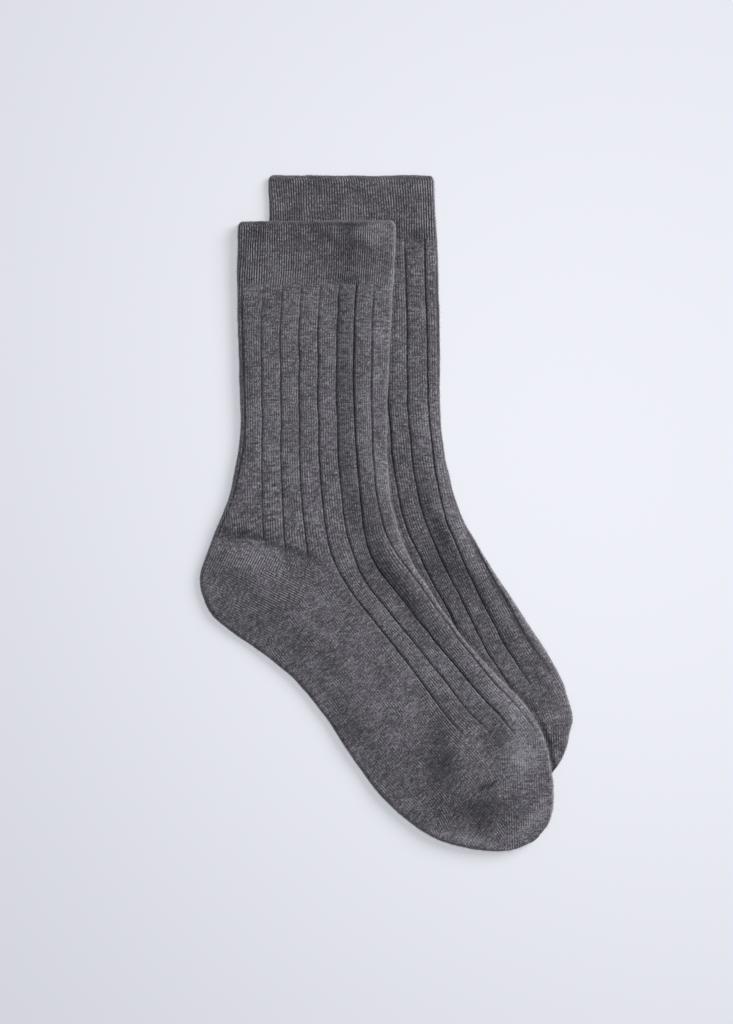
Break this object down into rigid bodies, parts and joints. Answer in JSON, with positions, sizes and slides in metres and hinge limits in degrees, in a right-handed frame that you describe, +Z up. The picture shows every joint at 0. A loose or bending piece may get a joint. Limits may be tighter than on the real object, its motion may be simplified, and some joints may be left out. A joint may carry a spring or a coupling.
{
  "type": "pair of ribbed wool socks",
  "caption": "Pair of mid-calf wide-rib wool socks with fine-rib cuffs and plain heels, soles and toes, laid flat with one sock lying partly on the other.",
  "frame": {"origin": "middle of the pair's bounding box, on the surface that the pair lies on", "axes": "+Z up off the surface, +Y from the toes towards the cuffs along the legs, +X to the right seen from above, the way the toes point"},
  "size_m": [0.1872, 0.3398, 0.0096],
  "materials": {
    "grey_wool": "soft matte heathered wool knit with a slight fuzz"
  },
  "bodies": {
    "root": {"lower_sock": "grey_wool", "upper_sock": "grey_wool"}
  },
  "joints": []
}
